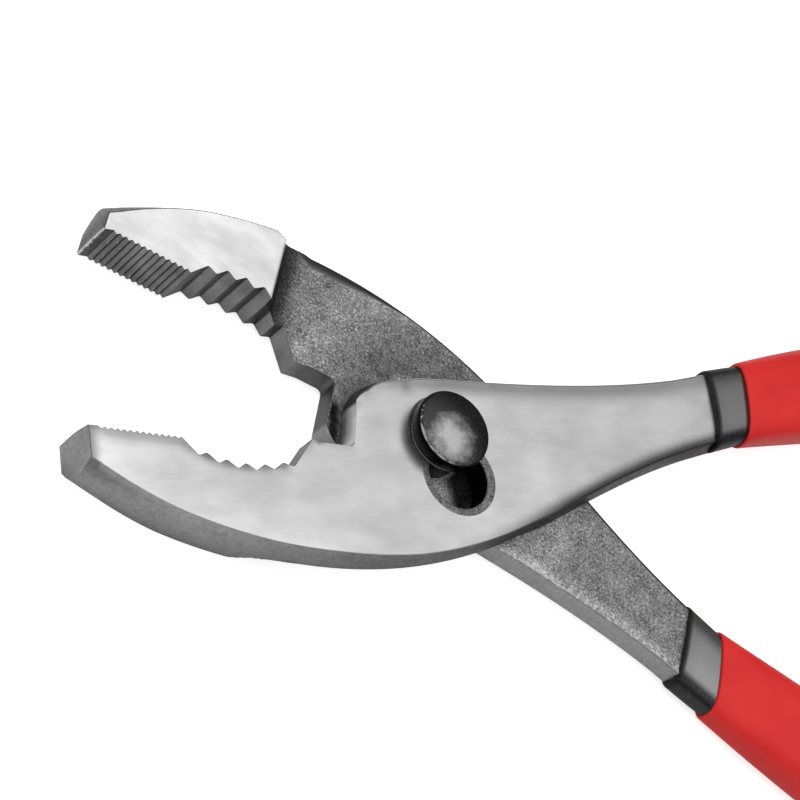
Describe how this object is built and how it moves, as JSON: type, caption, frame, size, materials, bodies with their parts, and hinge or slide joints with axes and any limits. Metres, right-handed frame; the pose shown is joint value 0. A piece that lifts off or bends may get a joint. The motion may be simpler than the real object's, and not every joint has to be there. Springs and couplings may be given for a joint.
{
  "type": "slip joint pliers",
  "caption": "Slip joint pliers with fine and pipe teeth, shear wire cutter, two-position slotted pivot and red grips over black liners.",
  "frame": {"origin": "pivot axis where it meets the surface the tool lies on, at the nut's outer face", "axes": "+X along the slotted lever's jaw face from the tip towards the handles, +Z along the pivot axis out of the bolt head"},
  "size_m": [0.2015, 0.1162, 0.0137],
  "materials": {
    "satin_steel": "satin ground along the lever",
    "forged_steel": "as forged and blasted, jaw faces polished",
    "black_oxide": "black oxide, worn on the crown",
    "spring_steel": "plain",
    "black_plastic": "gloss",
    "red_plastic": "satin"
  },
  "bodies": {
    "pinned_side": {"pinned_lever": "forged_steel", "pivot_bolt": "black_oxide", "pivot_nut": "black_oxide", "pinned_grip_liner": "black_plastic", "pinned_grip_sleeve": "red_plastic"},
    "washer": {"wave_washer": "spring_steel"},
    "slotted_side": {"slotted_lever": "satin_steel", "slotted_grip_liner": "black_plastic", "slotted_grip_sleeve": "red_plastic"}
  },
  "joints": [
    {"name": "pivot_hinge", "type": "hinge", "parent": "pinned_side", "child": "washer", "pos_m": [0, 0, 0.0098], "axis": [0, 0, 1], "range_deg": [-24.5, 20]},
    {"name": "slot_slip", "type": "slide", "parent": "washer", "child": "slotted_side", "axis": [-0.2588, 0.9659, 0], "range_m": [0, 0.00643]}
  ]
}
